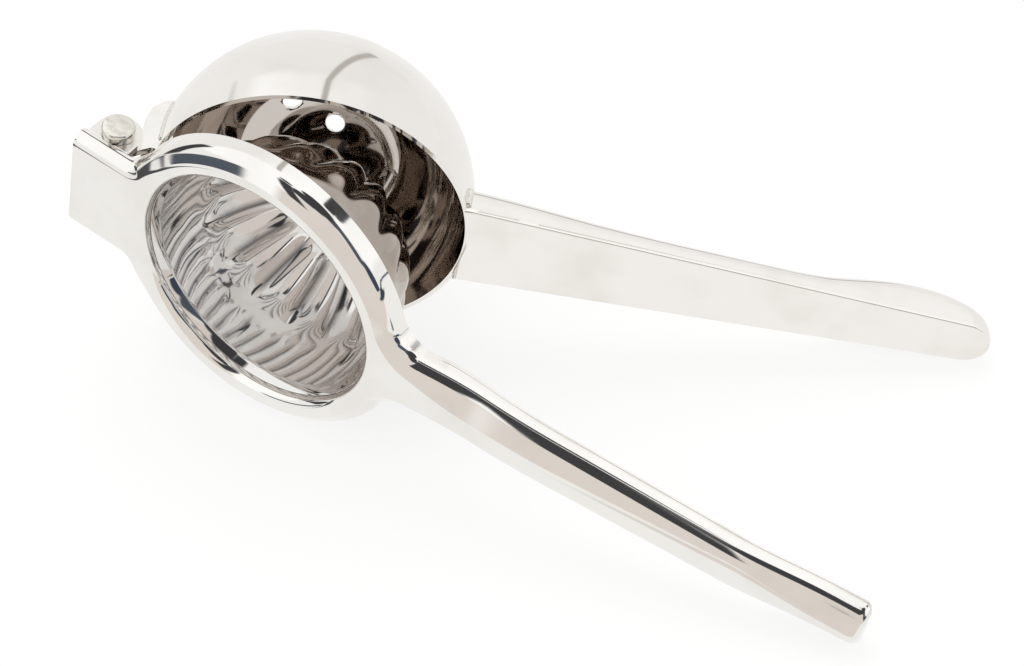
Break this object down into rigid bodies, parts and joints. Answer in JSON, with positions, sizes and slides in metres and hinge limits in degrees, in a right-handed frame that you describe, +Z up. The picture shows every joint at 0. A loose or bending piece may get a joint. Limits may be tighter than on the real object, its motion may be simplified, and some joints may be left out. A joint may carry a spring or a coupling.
{
  "type": "hinged citrus squeezer",
  "caption": "Hand citrus squeezer: a fluted dome on a handled ring hinges into a drained hemispherical cup on a second handle, both of polished steel sheet.",
  "frame": {"origin": "middle of the bounding box at its bottom, on the table that the tool lies on", "axes": "+Z up from the table, +X from the hinge towards the handle ends, halfway between the two halves, +Y from the press half towards the cup half"},
  "size_m": [0.2218, 0.1082, 0.0822],
  "materials": {
    "press_steel": "mirror polished stainless steel",
    "dome_steel": "polished stainless steel, pressed flutes",
    "cup_steel": "mirror polished stainless steel",
    "plate_steel": "polished stainless steel",
    "rivet_steel": "hammered steel, dull",
    "weld_steel": "ground weld metal"
  },
  "bodies": {
    "press_half": {"press_frame": "press_steel", "press_dome": "dome_steel", "dome_weld": "weld_steel", "press_handle_plate": "plate_steel", "hinge_rivet": "rivet_steel"},
    "cup_half": {"cup": "cup_steel", "cup_bracket": "plate_steel", "bracket_weld": "weld_steel", "cup_handle_shell": "cup_steel", "cup_handle_plate": "plate_steel", "cup_handle_weld": "weld_steel"}
  },
  "joints": [
    {"name": "squeeze_hinge", "type": "hinge", "parent": "press_half", "child": "cup_half", "pos_m": [-0.0994, -0.00411, 0.05094], "axis": [0.2129, 0, 0.9771], "range_deg": [-24.3, 136.5]}
  ]
}
